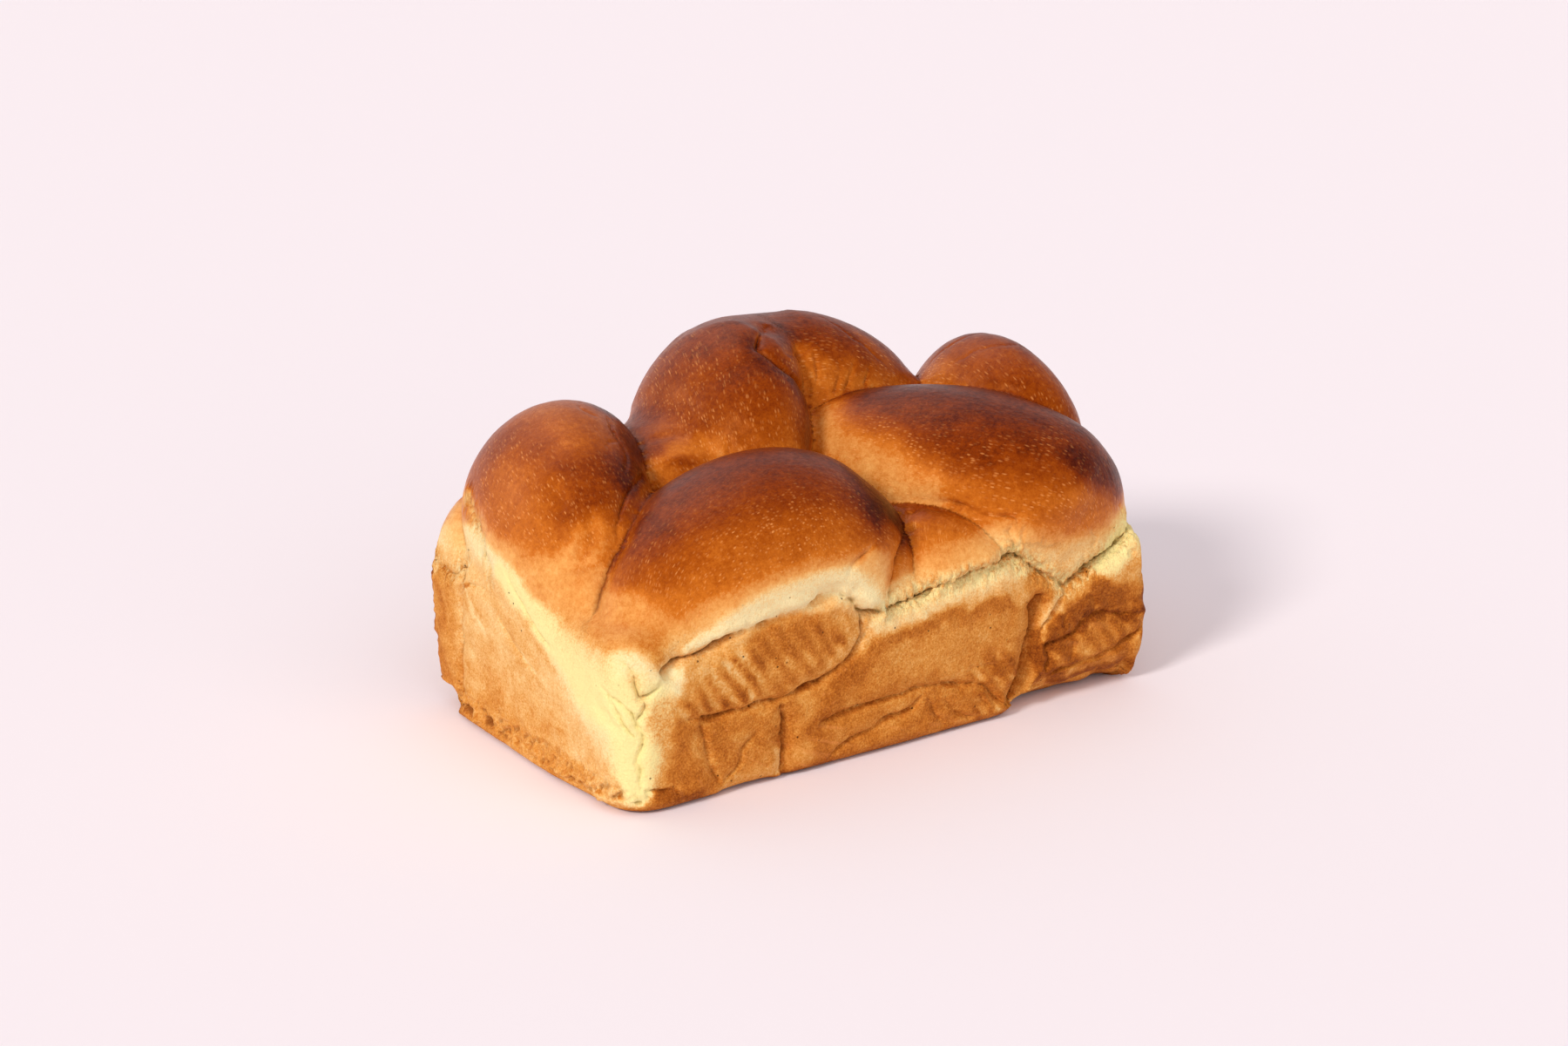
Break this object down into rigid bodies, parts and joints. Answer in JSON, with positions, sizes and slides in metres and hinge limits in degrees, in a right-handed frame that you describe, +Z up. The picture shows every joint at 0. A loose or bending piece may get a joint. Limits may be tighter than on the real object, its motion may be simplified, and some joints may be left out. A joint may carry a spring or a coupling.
{
  "type": "braided bread loaf",
  "caption": "Tin-baked braided loaf of enriched bread: swollen crossing ropes of glazed dough over a flat-sided, flat-based block.",
  "frame": {"origin": "middle of the footprint, on the underside the loaf rests on", "axes": "+X along the loaf, +Y across it, +Z up; the side with the tallest ropes faces +Y"},
  "size_m": [0.2118, 0.132, 0.1223],
  "materials": {
    "crust": "baked bread crust, not plastic: egg-washed and softly shiny chestnut brown on the ropes, golden brown and dull on the tin-pressed walls, cream where the dough tore open as it rose"
  },
  "bodies": {
    "root": {"loaf": "crust"}
  },
  "joints": []
}
